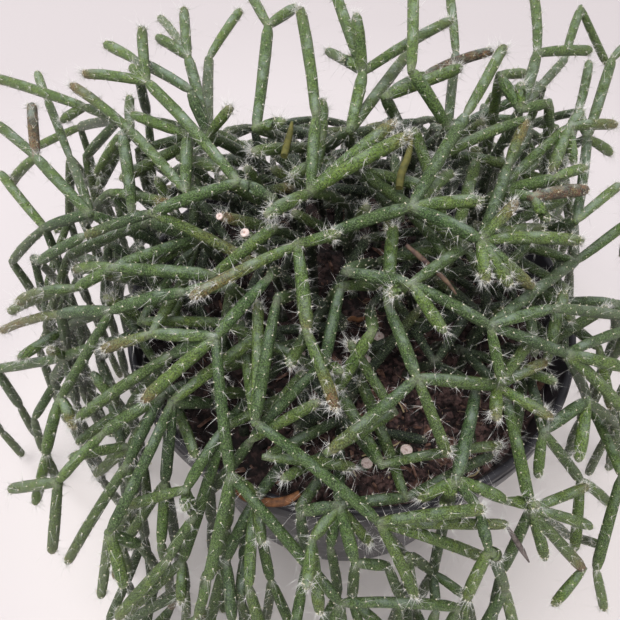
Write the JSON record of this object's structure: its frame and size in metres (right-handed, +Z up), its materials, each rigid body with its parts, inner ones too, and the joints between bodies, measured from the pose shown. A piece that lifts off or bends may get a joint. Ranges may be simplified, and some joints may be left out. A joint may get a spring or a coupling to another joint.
{
  "type": "mistletoe cactus",
  "caption": "Hairy mistletoe cactus with thin forking jointed stems that arch over the rim of a round dark plastic nursery pot filled with peat.",
  "frame": {"origin": "middle of the pot's flat underside", "axes": "+Z up out of the pot; -Y is the front, where a patch of the peat lies bare; +X to the right as seen from the front"},
  "size_m": [0.2592, 0.266, 0.1858],
  "materials": {
    "pot_plastic": "dark blue-grey, nearly black, satin moulded plastic",
    "peat": "dark reddish-brown crumbly peat with wood chips and straw-coloured fibres, matt",
    "stem_skin": "mid to dark green waxy skin with cream areoles and fine white bristles, yellow-green to ochre at the tips",
    "cut_stem": "short cut stems, grey-green at the side with a pale dry cut face"
  },
  "bodies": {
    "root": {"pot": "pot_plastic", "soil": "peat", "stem_01": "stem_skin", "stem_02": "stem_skin", "stem_03": "stem_skin", "stem_04": "stem_skin", "stem_05": "stem_skin", "stem_06": "stem_skin", "stem_07": "stem_skin", "stem_08": "stem_skin", "stem_09": "stem_skin", "stem_10": "stem_skin", "stem_11": "stem_skin", "stem_12": "stem_skin", "stem_13": "stem_skin", "stem_14": "stem_skin", "stem_15": "stem_skin", "stem_16": "stem_skin", "stem_17": "stem_skin", "stem_18": "stem_skin", "stem_19": "stem_skin", "stem_20": "stem_skin", "stem_21": "stem_skin", "stem_22": "stem_skin", "stem_23": "stem_skin", "stem_24": "stem_skin", "stem_25": "stem_skin", "stem_26": "stem_skin", "stem_27": "stem_skin", "stem_28": "stem_skin", "stem_29": "stem_skin", "stem_30": "stem_skin", "stem_31": "stem_skin", "stem_32": "stem_skin", "stem_33": "stem_skin", "stem_34": "stem_skin", "stem_35": "stem_skin", "stem_36": "stem_skin", "stem_37": "stem_skin", "stem_38": "stem_skin", "stem_39": "stem_skin", "stem_40": "stem_skin", "stem_41": "stem_skin", "stem_42": "stem_skin", "stem_43": "stem_skin", "stem_44": "stem_skin", "stem_45": "stem_skin", "stem_46": "stem_skin", "stem_47": "stem_skin", "stem_48": "stem_skin", "stem_49": "stem_skin", "stem_50": "stem_skin", "stem_51": "stem_skin", "stem_52": "stem_skin", "stem_53": "stem_skin", "cut_stub_1": "cut_stem", "cut_stub_2": "cut_stem", "cut_stub_3": "cut_stem", "cut_stub_4": "cut_stem", "cut_stub_5": "cut_stem"}
  },
  "joints": []
}
